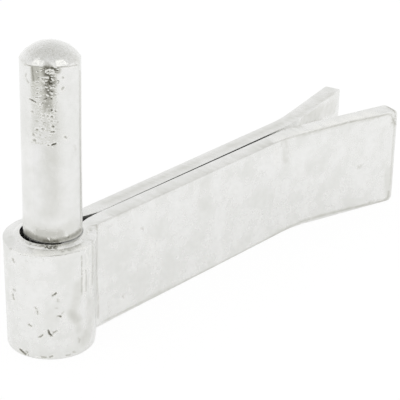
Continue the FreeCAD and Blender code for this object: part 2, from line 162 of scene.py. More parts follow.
def strokes(pixels, line):
    """Measure pixels against each part of a line: its two ends, how far along it, and how far off."""
    for first, last in zip(line, line[1:]):
        run = np.subtract(last, first)
        along = np.clip((pixels - first) @ run / max(run @ run, SHORTEST_RUN), 0, 1)
        away = np.linalg.norm(pixels - (first + along[:, None] * run), axis=1)
        yield first, last, along, away


def pixels_of(places):
    """Return the pixels at which the camera sees some places, and how far ahead they lie."""
    sight = places - np.array(EYE_POINT)
    ahead = sight @ np.array(FORWARD)
    across = PICTURE / 2 + FOCAL_PIXELS * (sight @ np.array(RIGHT)) / ahead
    down = PICTURE / 2 - FOCAL_PIXELS * (sight @ np.array(UP)) / ahead
    return np.column_stack((across, down)), ahead


# Wear and painted light. A mark is a stroke drawn over the photograph: the pixels it runs through, half its
# width in pixels, how far it is pressed into the metal at its deepest, in millimetres, and how much it
# darkens the metal, for dark marks and painted shade alike (or with a minus sign, how much painted highlight
# it adds).

Mark = namedtuple("Mark", "line reach depth soil")
Hollows = namedtuple("Hollows", "size depth seed")
Flecks = namedtuple("Flecks", "size amount")
SAME_SURFACE = 3 * MM
WIDE_MARK = 2.6
WIDE_GRAIN = 0.5 * MM
WIDE_BREAK = 1.5
FINE_GRAIN = 0.35 * MM
FINE_BREAK = 1.6
LIT_FROM = 0.45
LIT_TO = 1.8
LIT_GRAIN = 0.6 * MM
LIT_BREAK = 3
LIT_UNDER_DARKENING = 0.2
LIT_SHARE = 0.5
LIT_TONE = -0.6
HOLLOW_MORE = 0.3
FLECK_LESS = 0.15
SOFTLY = 0.25
UNEVENLY = 0.5


class Surface:
    """A piece's vertices as the camera sees them, and the wear and painted light that they take."""

    def __init__(self, piece):
        self.piece = piece
        vertices = piece.data.vertices
        self.places = self.read(vertices, "co")
        self.pixels, self.ahead = pixels_of(self.places)
        self.facing = (self.read(vertices, "normal") * (self.places - np.array(EYE_POINT))).sum(axis=1) < 0
        self.depth = np.zeros(len(vertices))
        self.soil = np.zeros(len(vertices))

    @staticmethod
    def read(vertices, kind):
        """Read one kind of vector from all the vertices."""
        values = np.empty(len(vertices) * 3)
        vertices.foreach_get(kind, values)
        return values.reshape(-1, 3)

    def distance_ahead(self, pixel):
        """Return how far ahead of the camera the surface lies at a pixel."""
        hit, place, _, _ = self.piece.ray_cast(EYE_POINT, sight_line(pixel))
        return (place - EYE_POINT).dot(FORWARD) if hit else math.inf

    def pixels_from(self, line):
        """Return how many pixels each vertex lies from a stroke on the surface."""
        gap = np.full(len(self.ahead), np.inf)
        for first, last, along, away in strokes(self.pixels, line):
            near = self.distance_ahead(first)
            far = self.distance_ahead(last)
            if math.isinf(near + far):
                continue
            close = np.abs(self.ahead - near - along * (far - near)) < SAME_SURFACE
            gap = np.where(close & self.facing, np.minimum(gap, away), gap)
        return gap

    def ragged(self, share, size, amount):
        """Break up a mark's share of each vertex in patches of a size."""
        for index in np.flatnonzero(share > 0):
            patch = noise.noise(Vector(self.places[index]) / size)
            share[index] = min(max(share[index] * (1 + amount * patch), 0), 1)
        return share

    def add(self, mark, broken=1.0):
        """Press a mark into the surface, darken it or paint a highlight on it by its sign, and break it up by
        a share.
        """
        gap = self.pixels_from(mark.line) / mark.reach
        share = np.clip(1 - gap**2, 0, 1) ** (2 - broken)
        if mark.reach > WIDE_MARK:
            share = self.ragged(share, WIDE_GRAIN, WIDE_BREAK * broken)
        else:
            share = self.ragged(share, FINE_GRAIN, FINE_BREAK * broken)
        self.depth = np.maximum(self.depth, mark.depth * MM * share)
        blend = self.soil * (1 - share) + mark.soil * share
        if mark.soil > 0:
            self.soil = np.where(self.soil < 0, blend, np.maximum(self.soil, mark.soil * share))
        else:
            self.soil = blend
        # A small mark that is dark enough gets a ragged ring of painted highlight round it, where the metal
        # is not already darkened.
        if mark.soil >= LIT_FROM and mark.reach < WIDE_MARK:
            lit = np.where((gap >= 1) & (gap < LIT_TO), 1.0, 0.0)
            lit = self.ragged(lit, LIT_GRAIN, LIT_BREAK) * (self.soil < LIT_UNDER_DARKENING)
            self.soil = np.where(lit > LIT_SHARE, LIT_TONE, self.soil)

    def roughen(self, hollows, where):
        """Hollow the surface in soft patches of a size, by the share that each place takes."""
        size, depth, seed = hollows
        shift = Vector((seed, 2 * seed, 3 * seed))
        for index, place in enumerate(self.places):
            share = where(Vector(place))
            if share > 0:
                patch = noise.noise(Vector(place) / size + shift)
                self.depth[index] += max(patch + HOLLOW_MORE, 0) * depth * share

    def fleck(self, flecks, where):
        """Make the surface duller and brighter by turns, in specks of a size."""
        for index in np.flatnonzero(where(self.places)):
            speck = noise.noise(Vector(self.places[index]) / flecks.size)
            self.soil[index] += flecks.amount * (speck - FLECK_LESS)

    def press(self):
        """Move the metal in by its depth, and store its darkening and painted light with it."""
        piece = self.piece
        deepest = float(self.depth.max())
        group = piece.vertex_groups.new(name="wear")
        for index in np.flatnonzero(self.depth > 0):
            group.add([int(index)], float(self.depth[index]) / deepest, "REPLACE")
        take(piece)
        wear = piece.modifiers.new("wear", "DISPLACE")
        wear.strength = -deepest
        wear.mid_level = 0
        wear.vertex_group = "wear"
        bpy.ops.object.modifier_apply(modifier="wear")
        piece.vertex_groups.remove(piece.vertex_groups["wear"])
        soil = piece.data.attributes.new("soil", "FLOAT", "POINT")
        soil.data.foreach_set("value", self.soil)


# The strap: the CAD bar, cut into a fine net so that its faces can take wear and painted light

EYE_MIDDLE = Vector((-1.1, 0, 0)) * MM
EYE_REACH = 17.6 * MM
BAR_WIDTH = 32 * MM
BAR_END = 140 * MM
BAR_PITCH = 1.2 * MM
HEIGHT_PITCH = 1 * MM
EYE_DEGREES = 3
SAME_PLANE = math.radians(0.05)


def make_strap():
    """Copy the bar's shape and divide its faces evenly."""
    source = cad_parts["strap"]
    strap = bpy.data.objects.new("strap_bar", source.data.copy())
    bpy.context.scene.collection.objects.link(strap)
    strap.data.materials.clear()
    open_mesh(strap, "ALL")
    bpy.ops.mesh.customdata_custom_splitnormals_clear()
    bpy.ops.mesh.remove_doubles(threshold=SAME_PLACE)
    bpy.ops.mesh.dissolve_limited(angle_limit=SAME_PLANE)
    for place in steps(EYE_REACH, BAR_END, BAR_PITCH):
        slice_mesh((place, 0, 0), (1, 0, 0))
    for height in steps(HEIGHT_PITCH, BAR_WIDTH - HEIGHT_PITCH, HEIGHT_PITCH):
        slice_mesh((0, 0, height), (0, 0, 1))
    close_mesh()
    open_faces(strap, face_middles(strap)[:, 0] < EYE_REACH)
    bpy.ops.mesh.hide(unselected=True)
    for height in steps(HEIGHT_PITCH / 2, BAR_WIDTH - HEIGHT_PITCH / 2, HEIGHT_PITCH):
        slice_mesh((0, 0, height), (0, 0, 1))
    for turn in range(0, 180, EYE_DEGREES):
        angle = math.radians(turn)
        slice_mesh(EYE_MIDDLE, (math.sin(angle), math.cos(angle), 0))
    bpy.ops.mesh.reveal()
    bpy.ops.mesh.select_all(action="SELECT")
    bpy.ops.mesh.quads_convert_to_tris()
    close_mesh()
    return strap


RING_FOOT = 29.5 * MM
HIDDEN_BY = 0.5 * MM


def on_seen_side(piece):
    """Tell the faces that no other part of the piece hides from the camera."""
    middles = face_middles(piece)
    seen = np.zeros(len(middles), dtype=bool)
    for index, middle in enumerate(middles):
        sight = (Vector(middle) - EYE_POINT).normalized()
        hit, place, _, _ = piece.ray_cast(EYE_POINT, sight)
        seen[index] = hit and (place - Vector(middle)).length < HIDDEN_BY
    return seen


EYE_DENTS = {
    "top_left": Mark(((12.8, 259), (14, 262)), 1.12, 0.12, 0.45),
    "left_spot": Mark(((13.5, 289.8), (15.8, 290.8)), 1.04, 0.12, 0.54),
    "left_slant": Mark(((12.4, 294), (13.8, 299.5)), 1.04, 0.12, 0.5),
    "middle_slash": Mark(((52.6, 295.8), (56.6, 293.3)), 1.04, 0.18, 0.77),
    "middle_speck": Mark(((57.3, 299), (57.6, 301.5)), 0.88, 0.08, 0.32),
    "middle_faint": Mark(((56.4, 308.2), (57.4, 308.4)), 0.96, 0.06, 0.23),
    "centre_head": Mark(((34.9, 307.6), (36.4, 308.5)), 1.04, 0.12, 0.45),
    "centre_tail": Mark(((37, 310), (37.8, 314)), 1.04, 0.14, 0.54),
    "star": Mark(((59, 316), (61, 316.8)), 1.2, 0.18, 0.81),
    "star_ray": Mark(((60.5, 315.4), (64, 311.8)), 0.72, 0.05, 0.27),
    "low_left_slash": Mark(((28.4, 324.4), (31.6, 326.3)), 0.96, 0.14, 0.68),
    "low_slash": Mark(((40, 337), (43, 335)), 1.12, 0.16, 0.72),
    "horseshoe_left": Mark(((48.6, 331), (49.2, 334), (51.5, 335.4)), 1.35, 0.2, 0.9),
    "horseshoe_right": Mark(((51.5, 335.6), (54, 332.6), (57, 331)), 0.96, 0.16, 0.5),
    "crescent": Mark(((78.4, 338), (79.6, 340), (79.2, 342.5)), 0.96, 0.08, 0.36),
    "foot_slash": Mark(((20, 349.5), (25.5, 354.5)), 1.2, 0.22, 0.81),
    "foot_nick": Mark(((26, 351), (28, 355)), 1.04, 0.16, 0.54),
    "foot_dash": Mark(((41.5, 357.2), (46, 357.6)), 1.04, 0.12, 0.45),
    "foot_spot": Mark(((50, 357.2), (52.5, 356.4)), 1.12, 0.14, 0.54),
    "foot_right_dash": Mark(((66.5, 355.6), (70, 355.1)), 0.96, 0.12, 0.41),
    "foot_right_spot": Mark(((73, 352.2), (75.6, 352.4)), 1.04, 0.1, 0.36),
    "rim_spot": Mark(((43, 257), (43.6, 259.4)), 1.04, 0.08, 0.41),
    "rim_left_spot": Mark(((20.6, 255), (22.2, 254.8)), 0.88, 0.06, 0.36),
    "shoulder_spot": Mark(((9.8, 248.8), (12, 249.4)), 0.88, 0.06, 0.32),
}
# Soft darker patches on the eye's face, most of them on its right towards the flank.
EYE_SOFT_DARK_PATCHES = {
    "right": Mark(((72.5, 314), (76, 319)), 8, 0.03, 0.3),
    "right_above": Mark(((74.5, 307), (77, 296), (80, 284)), 6.5, 0.02, 0.13),
    "right_below": Mark(((78, 322), (80, 331)), 6.5, 0, 0.12),
    "right_foot": Mark(((87, 333), (84, 341)), 8, 0, 0.16),
    "flank": Mark(((90, 300), (90, 328)), 6, 0, 0.12),
    "middle": Mark(((48, 316), (52, 320)), 9, 0.02, 0.08),
    "middle_low": Mark(((56, 338), (70, 334)), 8, 0, 0.06),
    "upper_left": Mark(((24, 268), (29, 282)), 8, 0.02, 0.05),
}
# Painted highlights along the crest of the lip round the pin and along the ring's outer rim, each with a line
# of painted shade beside it; RING_GLEAM paints a broad sheen over the front of the ring.
RING_LIP_HIGHLIGHT = Mark(
    ((18.6, 230.6), (20.8, 236.6), (25, 240.6), (30, 243), (38.5, 244.8), (49, 245.2), (59, 244.2),
     (69.5, 241.3), (79.5, 237), (86, 233)), 1.1, 0, -1)
RING_LIP_SHADE = Mark(
    ((19.4, 237), (24, 242), (30, 244.8), (38.5, 246.6), (49, 247), (59, 246), (69.5, 243), (79.5, 238.8)),
    0.9, 0, 0.3)
RING_RIM_HIGHLIGHT = Mark(
    ((24, 253.6), (33, 255.2), (47, 255.3), (55, 254.3), (64, 253), (72, 251.5), (80, 249.2), (85.5, 247.2)),
    1.1, 0, -1)
RING_RIM_SHADE = Mark(
    ((20, 254.4), (33, 257), (47, 257.2), (64, 254.8), (80, 251), (86, 248.8)), 0.9, 0, 0.26)
RING_GLEAM = Mark(((20, 246.5), (34, 251.6), (50, 252.4), (66, 250.4), (82, 245)), 9, 0, -0.75)
# Darker marks on the top of the eye: behind_lip_left is painted shade in the crevice behind the lip, the
# under_lip marks are a painted dark reflection under its crest, and the rest are darker spots, dashes and
# haze.
RING_DARK_MARKS = {
    "behind_lip_left": Mark(((22, 238.4), (27, 242.6), (31, 244)), 0.9, 0, 0.35),
    "under_lip_first": Mark(((30, 243.6), (31.6, 244.2)), 0.9, 0.03, 0.7),
    "under_lip_second": Mark(((35.5, 245.2), (37, 245.4)), 0.8, 0.03, 0.5),
    "under_lip_dash": Mark(((39, 245.7), (44.5, 245.9)), 0.9, 0.03, 0.6),
    "front_patch": Mark(((46.5, 247.2), (50, 248), (56, 247.4)), 2.6, 0.04, 0.85),
    "front_patch_foot": Mark(((43.5, 248.6), (47.5, 248.6)), 1.4, 0.02, 0.5),
    "front_patch_right": Mark(((51, 248.6), (57, 248.2)), 1.6, 0.02, 0.4),
    "right_streak": Mark(((61, 251.8), (65, 251.4)), 1.0, 0.02, 0.45),
    "right_streak_end": Mark(((68, 250.9), (73, 250)), 1.0, 0.02, 0.4),
    "left_haze": Mark(((12, 240), (20, 246), (30, 250)), 5, 0, 0.1),
    "right_haze": Mark(((66, 247), (78, 243), (88, 238)), 4, 0, 0.12),
    "far_right_haze": Mark(((86, 232), (90, 228)), 3, 0, 0.2),
    "throat_dash": Mark(((91, 227.4), (91.4, 230.6)), 0.9, 0.03, 0.45),
    "corner_dash": Mark(((96.8, 225), (97, 227.6)), 0.9, 0.03, 0.4),
    "corner_spot": Mark(((97, 232.6), (97.2, 233.4)), 0.9, 0.03, 0.4),
}
# Streaky painted reflection in the flank where the eye turns into the front leg: dark streaks of painted
# shade and bright streaks of painted highlight.
FLANK_REFLECTIONS = {
    "shade": Mark(((81.6, 256), (82, 270), (81.6, 294)), 1.0, 0, 0.36),
    "second_shade": Mark(((85.8, 270), (86.4, 280), (86, 292)), 0.9, 0, 0.32),
    "third_shade": Mark(((92.6, 240), (93, 262), (92.4, 284)), 1.1, 0, 0.26),
    "upper": Mark(((86.4, 254), (87.8, 261), (86.6, 268)), 1.2, 0, -1),
    "middle": Mark(((83.4, 267), (84.6, 276), (83.6, 284), (84.8, 295)), 1.2, 0, -1),
    "outer": Mark(((89.2, 264), (90.8, 273), (89.6, 283), (91, 293)), 1.1, 0, -1),
    "outer_upper": Mark(((90.6, 246), (89.8, 254)), 1.0, 0, -0.8),
}
BAR_MARKS = {
    "bend_shade": Mark(((283.5, 140), (286, 149), (285, 160)), 4.5, 0.04, 0.15),
    "bend_light": Mark(((276, 150), (277, 162)), 4, 0.02, -0.25),
    "tail_pit": Mark(((358.6, 166.8), (359.6, 167.2)), 1.2, 0.08, 0.4),
    "tail_streak": Mark(((385.5, 175), (386.5, 195)), 1.2, 0.02, 0.14),
    "tail_second_streak": Mark(((389, 178), (389.5, 194)), 1.1, 0.02, 0.12),
    # Painted shade on the rounded top corner at the front leg's end.
    "end_corner_shade": Mark(((393.2, 119), (395, 124)), 1.8, 0.05, 0.4),
    "low_pit": Mark(((122.6, 296.4), (123.6, 296.8)), 1.2, 0.08, 0.4),
    "high_pit": Mark(((141.6, 228.4), (142.6, 228.8)), 1.2, 0.08, 0.35),
    "run_shade": Mark(((206, 186), (204, 206)), 9, 0.03, 0.05),
    "run_light": Mark(((150, 240), (152, 262)), 10, 0.03, -0.2),
}
# Painted shade along the bar's rounded edges, down the crease where the eye meets the front leg, and over the
# back leg's top and tail.
EDGE_SHADE_LINES = {
    "front_top_run": Mark(
        ((99, 223.8), (115, 216.4), (150, 199.8), (190, 181), (230, 162.6), (262, 148.2)), 2.2, 0, 0.17),
    "front_top_bend": Mark(((262, 148.2), (275, 142.2), (290, 137.4), (310, 132.4)), 1.7, 0, 0.26),
    "front_top_tail": Mark(((310, 132.4), (330, 127.2), (350, 122.2), (380, 115.8)), 1.5, 0, 0.36),
    "front_top_end": Mark(
        ((378, 116.2), (387.6, 114.2), (391.6, 115), (393.8, 119), (394.2, 125)), 1.4, 0, 0.36),
    "tail_top_start": Mark(((283, 131), (296, 126.4), (308, 123), (322, 119.6)), 1.2, 0, 0.34),
    "tail_top": Mark(((322, 119.4), (340, 115), (360, 110.4), (380, 106.9), (388, 106.6)), 1.2, 0, 0.5),
    "tail_top_corner": Mark(((387, 106.8), (391.8, 108.6), (395, 112), (395.6, 119)), 1.2, 0, 0.5),
    "tail_end": Mark(((394.8, 122), (393.8, 140), (392.2, 160), (390.2, 185)), 1.0, 0, 0.26),
    "tail_end_shade": Mark(((388.6, 168), (388, 194)), 4.0, 0, 0.1),
    "tail_foot_corner": Mark(((388.8, 192), (388.2, 197), (384.8, 200)), 1.8, 0, 0.36),
    "tail_foot": Mark(((384.5, 200.4), (368, 204.2), (350, 208.2), (320, 216), (300, 222)), 1.5, 0, 0.34),
    "bend_foot": Mark(((300, 222), (291, 226.2), (280, 231.8), (270, 237.4)), 1.5, 0, 0.28),
    "run_foot": Mark(
        ((270, 237.4), (240, 253.3), (200, 273.4), (160, 293.3), (125, 310.7), (104, 321)), 1.5, 0, 0.25),
    "crease": Mark(((96.7, 225), (96.7, 262), (97.4, 290), (98.6, 318)), 1.1, 0, 0.3),
    "back_top_run": Mark(((104, 204), (180, 169.6), (250, 137.4), (280, 123.4)), 5, 0, 0.19),
    "back_top_tail": Mark(((284, 121), (310, 105.4), (332, 92)), 5, 0, 0.12),
    "back_tail_face": Mark(((304, 122), (320, 112), (332, 108)), 13, 0, 0.17),
    "back_tail_inner_top": Mark(((292, 118.4), (305, 111), (320, 102), (334, 93.6)), 1.9, 0, 0.2),
}
# Beads of painted highlight along the front leg's top edge at the bend and the tail.
EDGE_HIGHLIGHT_BEADS = {
    "tail": Mark(((300, 133), (330, 125), (360, 117.8), (378, 113.9)), 0.9, 0, -1),
    "bend": Mark(((268, 144.6), (284, 138.2), (300, 133)), 0.8, 0, -0.7),
}
EDGE_INSET = 1.2 * MM
EDGE_PLAIN = 0.3
BAR_TOP = BAR_WIDTH - 0.5 * MM
FINE_MARGIN = 0.2
BAR_WAVES = Hollows(size=6 * MM, depth=0.04 * MM, seed=3)
BAR_DIMPLES = Hollows(size=2.2 * MM, depth=0.012 * MM, seed=5)
RING_FLECKS = Flecks(size=0.5 * MM, amount=0.16)
BAR_TOP_FLECKS = Flecks(size=0.6 * MM, amount=0.1)


def inside_edges(place):
    """Tell how far a place lies from the bar's long edges, from 0 on an edge to 1 well inside."""
    return min(max(min(place.z, BAR_WIDTH - place.z) / EDGE_INSET - EDGE_PLAIN, 0), 1)


def marked_by(piece, marks, margin):
    """Tell the faces of a piece that look at the camera and lie on some marks, or within a margin of one."""
    middles = face_middles(piece)
    normals = np.empty(middles.size)
    piece.data.polygons.foreach_get("normal", normals)
    facing = (normals.reshape(-1, 3) * (middles - np.array(EYE_POINT))).sum(axis=1) < 0
    pixels, _ = pixels_of(middles)
    covered = np.zeros(len(middles), dtype=bool)
    for mark in marks:
        for _, _, _, away in strokes(pixels, mark.line):
            covered |= away < mark.reach + margin
    return covered & facing


def is_ring(places):
    """Tell the places on the top of the eye."""
    return (places[:, 0] < EYE_REACH) & (places[:, 2] > RING_FOOT)


def is_bar_top(places):
    """Tell the places on the top of the legs."""
    return (places[:, 0] > EYE_REACH) & (places[:, 2] > BAR_TOP)


def wear_strap(strap):
    """Give the bar the dents, dark marks and soft hollows of the photograph, with painted shade and painted
    highlights along its edges, in its flank and round the ring.
    """
    edges = [mark for mark in EDGE_SHADE_LINES.values() if mark.reach < WIDE_MARK]
    refine(strap, marked_by(strap, edges, margin=0) & on_seen_side(strap), cuts=1)
    tops = [EDGE_SHADE_LINES["back_top_run"], EDGE_SHADE_LINES["back_top_tail"]]
    refine(strap, marked_by(strap, tops, margin=0) & is_bar_top(face_middles(strap)), cuts=1)
    tables = (EYE_DENTS, FLANK_REFLECTIONS, RING_DARK_MARKS, BAR_MARKS)
    marks = [mark for table in tables for mark in table.values() if mark.reach < WIDE_MARK]
    marks += [RING_LIP_HIGHLIGHT, RING_LIP_SHADE, RING_RIM_HIGHLIGHT, RING_RIM_SHADE]
    refine(strap, marked_by(strap, marks, FINE_MARGIN) & on_seen_side(strap), cuts=2)
    surface = Surface(strap)
    surface.roughen(BAR_WAVES, inside_edges)
    surface.roughen(BAR_DIMPLES, inside_edges)
    for mark in EYE_SOFT_DARK_PATCHES.values():
        surface.add(mark, SOFTLY)
    for mark in EDGE_SHADE_LINES.values():
        surface.add(mark, UNEVENLY)
    for marks in (EYE_DENTS, FLANK_REFLECTIONS, BAR_MARKS, EDGE_HIGHLIGHT_BEADS):
        for mark in marks.values():
            surface.add(mark)
    surface.add(RING_GLEAM, SOFTLY)
    for mark in (RING_RIM_SHADE, RING_LIP_SHADE, RING_RIM_HIGHLIGHT, RING_LIP_HIGHLIGHT):
        surface.add(mark)
    for mark in RING_DARK_MARKS.values():
        surface.add(mark)
    surface.fleck(RING_FLECKS, is_ring)
    surface.fleck(BAR_TOP_FLECKS, is_bar_top)
    surface.press()


strap = make_strap()
wear_strap(strap)


# The pin: a ring drawn up to a shallow dome

PIN_RADIUS = 8 * MM
PIN_TOP = 82.2 * MM
DOME_RISE = 4.2 * MM
FOOT_RADIUS = 9.5 * MM
FOOT_DEPTH = 1.5 * MM
SEAT_RADIUS = 7.8 * MM
SEAT_TOP = 32.75 * MM
PIN_SIDES = 160
AT_FOOT = 0.01 * MM
FOOT_INNER_SHARE = 0.5
SEAT_RINGS = (3 * MM, SEAT_TOP, 1 * MM)
LOW_RINGS = (SEAT_TOP, 39 * MM, 0.35 * MM)
MIDDLE_RINGS = (39.8 * MM, 50 * MM, 0.8 * MM)
TOP_RINGS = (50.35 * MM, PIN_TOP - 0.15 * MM, 0.35 * MM)
DOME_RINGS = 28
DOME_START = 0.985


def pin_stations():
    """List the pin's rings as radius and height: the spread foot, the seat, the running length, the dome."""
    rings = [(FOOT_RADIUS, 0), ((FOOT_RADIUS + SEAT_RADIUS) / 2, FOOT_DEPTH / 2), (SEAT_RADIUS, FOOT_DEPTH)]
    rings += [(SEAT_RADIUS, height) for height in steps(*SEAT_RINGS)]
    for stretch in (LOW_RINGS, MIDDLE_RINGS, TOP_RINGS):
        rings += [(PIN_RADIUS, height) for height in steps(*stretch)]
    dome_radius = (PIN_RADIUS**2 + DOME_RISE**2) / (2 * DOME_RISE)
    edge = math.asin(PIN_RADIUS / dome_radius)
    for number in range(DOME_RINGS):
        angle = edge * (1 - number / DOME_RINGS) * DOME_START
        height = PIN_TOP + DOME_RISE - dome_radius * (1 - math.cos(angle))
        rings.append((dome_radius * math.sin(angle), height))
    return rings


def make_pin():
    """Draw the pin up ring by ring and close its two ends."""
    rings = pin_stations()
    radius, height = rings[0]
    bpy.ops.object.select_all(action="DESELECT")
    bpy.ops.mesh.primitive_circle_add(
        vertices=PIN_SIDES, radius=radius, fill_type="NOTHING", enter_editmode=True, location=(0, 0, 0))
    pin = bpy.context.active_object
    pin.name = "pin_bar"
    pin.data.name = "pin_bar"
    bpy.ops.mesh.select_mode(type="VERT")
    for next_radius, next_height in rings[1:]:
        bpy.ops.mesh.extrude_region_move(
            TRANSFORM_OT_translate={"value": (0, 0, next_height - height), "orient_type": "GLOBAL"})
        scale = next_radius / radius
        bpy.ops.transform.resize(value=(scale, scale, 1), center_override=(0, 0, next_height))
        radius, height = next_radius, next_height
    bpy.ops.mesh.extrude_region_move(
        TRANSFORM_OT_translate={"value": (0, 0, PIN_TOP + DOME_RISE - height), "orient_type": "GLOBAL"})
    bpy.ops.mesh.merge(type="CENTER")
    mesh = bmesh.from_edit_mesh(pin.data)
    for vertex in mesh.verts:
        vertex.select_set(vertex.co.z < AT_FOOT)
    mesh.select_flush(True)
    bmesh.update_edit_mesh(pin.data)
    bpy.ops.mesh.extrude_region_move()
    bpy.ops.transform.resize(value=(FOOT_INNER_SHARE, FOOT_INNER_SHARE, 1), center_override=(0, 0, 0))
    bpy.ops.mesh.extrude_region_move()
    bpy.ops.mesh.merge(type="CENTER")
    bpy.ops.mesh.select_all(action="SELECT")
    bpy.ops.mesh.remove_doubles(threshold=SAME_PLACE)
    bpy.ops.mesh.normals_make_consistent(inside=False)
    close_mesh()
    return pin


PITS = {
    "crown_pit": Mark(((49, 67.4), (52.2, 69)), 1.9, 0.2, 0.95),
    "crown_pit_right": Mark(((54.6, 70.2), (57.6, 70.8)), 1.56, 0.16, 0.9),
    "second_pit": Mark(((48, 75.8), (50.4, 77.6)), 1.44, 0.16, 0.85),
    "second_spot": Mark(((53, 77), (54, 77.6)), 1.32, 0.14, 0.8),
    "left_dash": Mark(((42, 79), (45.7, 79.6)), 1.32, 0.12, 0.75),
    "middle_dash": Mark(((47.6, 80.6), (49.2, 80.6)), 1.2, 0.12, 0.7),
    "middle_spot": Mark(((51, 81.2), (52, 81.4)), 1.2, 0.12, 0.7),
    "third_pit": Mark(((47.4, 84.4), (49, 87.8)), 1.68, 0.14, 0.8),
    "third_spot": Mark(((51.6, 86.6), (52.2, 86.9)), 1.32, 0.14, 0.85),
    "third_right": Mark(((54.6, 86.1), (54.8, 87.6)), 1.2, 0.12, 0.7),
    "fourth_spot": Mark(((51.4, 91.6), (52.2, 92)), 1.56, 0.16, 0.95),
    "fourth_left": Mark(((47.9, 91.4), (48.7, 91.6)), 1.2, 0.12, 0.7),
    "fifth_left": Mark(((45.2, 98.8), (46.4, 98.5)), 1.56, 0.16, 0.9),
    "fifth_spot": Mark(((51.2, 99), (51.9, 99.2)), 1.44, 0.16, 0.9),
    "sixth_left": Mark(((42.4, 103.2), (44, 103.4)), 1.32, 0.12, 0.75),
    "seventh_spot": Mark(((51, 110.1), (52, 110.5)), 1.56, 0.16, 0.9),
    "seventh_right": Mark(((55, 111.1), (55.6, 111.3)), 1.32, 0.12, 0.7),
    "seventh_left": Mark(((32, 111.4), (32.8, 111.8)), 1.44, 0.1, 0.5),
    "eighth_left": Mark(((43.2, 115.6), (44.4, 115.8)), 1.32, 0.12, 0.7),
    "eighth_middle": Mark(((47, 116.2), (48.2, 116.4)), 1.2, 0.12, 0.65),
    "eighth_spot": Mark(((51.4, 116.7), (52.2, 116.9)), 1.44, 0.14, 0.8),
    "ninth_spot": Mark(((51, 121), (52, 121.1)), 1.2, 0.1, 0.6),
    "tenth_spot": Mark(((52.6, 126.4), (53.6, 126.7)), 1.56, 0.14, 0.8),
    "tenth_left": Mark(((36.6, 129.6), (37.6, 129.9)), 1.44, 0.12, 0.65),
    "tenth_middle": Mark(((42.4, 128.9), (43.4, 129.1)), 1.44, 0.12, 0.7),
    "eleventh_dash": Mark(((51, 132.1), (54, 131.8)), 1.2, 0.14, 0.85),
    "eleventh_left": Mark(((33.2, 134.6), (34, 135)), 1.44, 0.1, 0.55),
    "right_pit": Mark(((65, 137), (66.2, 137.8)), 1.56, 0.12, 0.6),
    "twelfth_left": Mark(((34, 139.8), (35.2, 140.6)), 1.68, 0.12, 0.6),
    "last_dash": Mark(((52, 145.2), (55.8, 143.8)), 1.44, 0.2, 0.95),
    "last_spot": Mark(((48, 145.2), (48.8, 145.5)), 1.2, 0.1, 0.6),
    "upper_right": Mark(((62.6, 77.2), (63.2, 77.8)), 1.44, 0.1, 0.45),
    "lower_right": Mark(((62, 89.2), (63.2, 87.8)), 1.44, 0.1, 0.5),
    "left_scratch": Mark(((26.3, 73), (25.2, 77)), 1.08, 0.06, 0.45),
    "left_scratch_foot": Mark(((26.2, 79), (28.4, 82.6)), 1.08, 0.06, 0.4),
    "slash": Mark(((29.8, 99), (35.6, 102.4)), 1.1, 0.16, 0.85),
    "slash_spot": Mark(((37.6, 97.4), (38.6, 97.8)), 1.2, 0.1, 0.5),
    "first_faint": Mark(((32, 86.4), (33.4, 86.6)), 1.2, 0.08, 0.4),
    "second_faint": Mark(((36.8, 88), (38, 88.4)), 1.2, 0.08, 0.4),
    "third_faint": Mark(((39.8, 89.2), (41, 89.4)), 1.2, 0.08, 0.4),
    "low_right": Mark(((74.5, 146), (75.5, 149)), 2.4, 0.04, 0.12),
}
# Painted shade and painted reflections on the pin: the dark band reflected down its front under the dome,
# with its olive left edge and paler grey stripes lower down, the dark line at the foot of the dome, a dark
# line down its right limb, and shade round its foot in the crevice above the lip.
PIN_PAINTED_SHADE = {
    "under_dome": Mark(((46, 68.4), (52, 69), (57, 70.2)), 5.5, 0, 0.85),
    "dome_line": Mark(
        ((24.4, 64.3), (31, 66), (42, 67.2), (58.5, 67.3), (70, 66.3), (77, 65)), 1.0, 0.02, 0.55),
    "band_head": Mark(((47, 70), (50.5, 82)), 9.5, 0.03, 0.93),
    "band_neck": Mark(((47.5, 82), (49, 94)), 8.5, 0.03, 0.8),
    "band_middle": Mark(((47, 92), (48, 108)), 8.5, 0.03, 0.55),
    "band_left": Mark(((43, 98), (43.5, 114)), 6, 0.02, 0.22),
    "band_foot": Mark(((49, 106), (51, 136)), 8.5, 0.02, 0.16),
    "olive_edge": Mark(((32.2, 67.6), (32.8, 73), (33.4, 80)), 2.6, 0, 0.62),
    "olive": Mark(((35.6, 67.6), (36.4, 74), (36.4, 78)), 5.5, 0, 0.42),
    "left_band": Mark(((35, 84), (36, 130)), 7, 0.02, 0.09),
    "middle_haze": Mark(((52, 112), (52, 212)), 16, 0, 0.16),
    "right_limb": Mark(((80.1, 70), (80.3, 150), (80.6, 226)), 0.8, 0, 0.3),
    "foot_haze": Mark(((24, 222), (32, 228), (50, 231.6), (68, 229), (78, 223)), 9, 0, 0.14),
    "foot_left": Mark(((21.8, 227.4), (26, 232), (32, 235.6), (40, 238.6), (50, 240)), 4.6, 0, 0.62),
    "foot_left_edge": Mark(((21.6, 228.4), (26, 233.6), (33, 237.8), (42, 240.8), (52, 242)), 2, 0, 0.7),
    "foot_front": Mark(((44, 240.4), (51, 241.4), (58, 241)), 3.6, 0, 0.8),
    "foot_right": Mark(((57, 240.4), (67, 238.4), (76, 234.2), (80.2, 230.4)), 3.8, 0, 0.6),
    "foot_middle": Mark(((38, 232.6), (48, 234.6), (60, 234)), 9, 0, 0.34),
    "foot_spot": Mark(((67.5, 237.6), (69, 237.4)), 1.4, 0, 0.8),
}
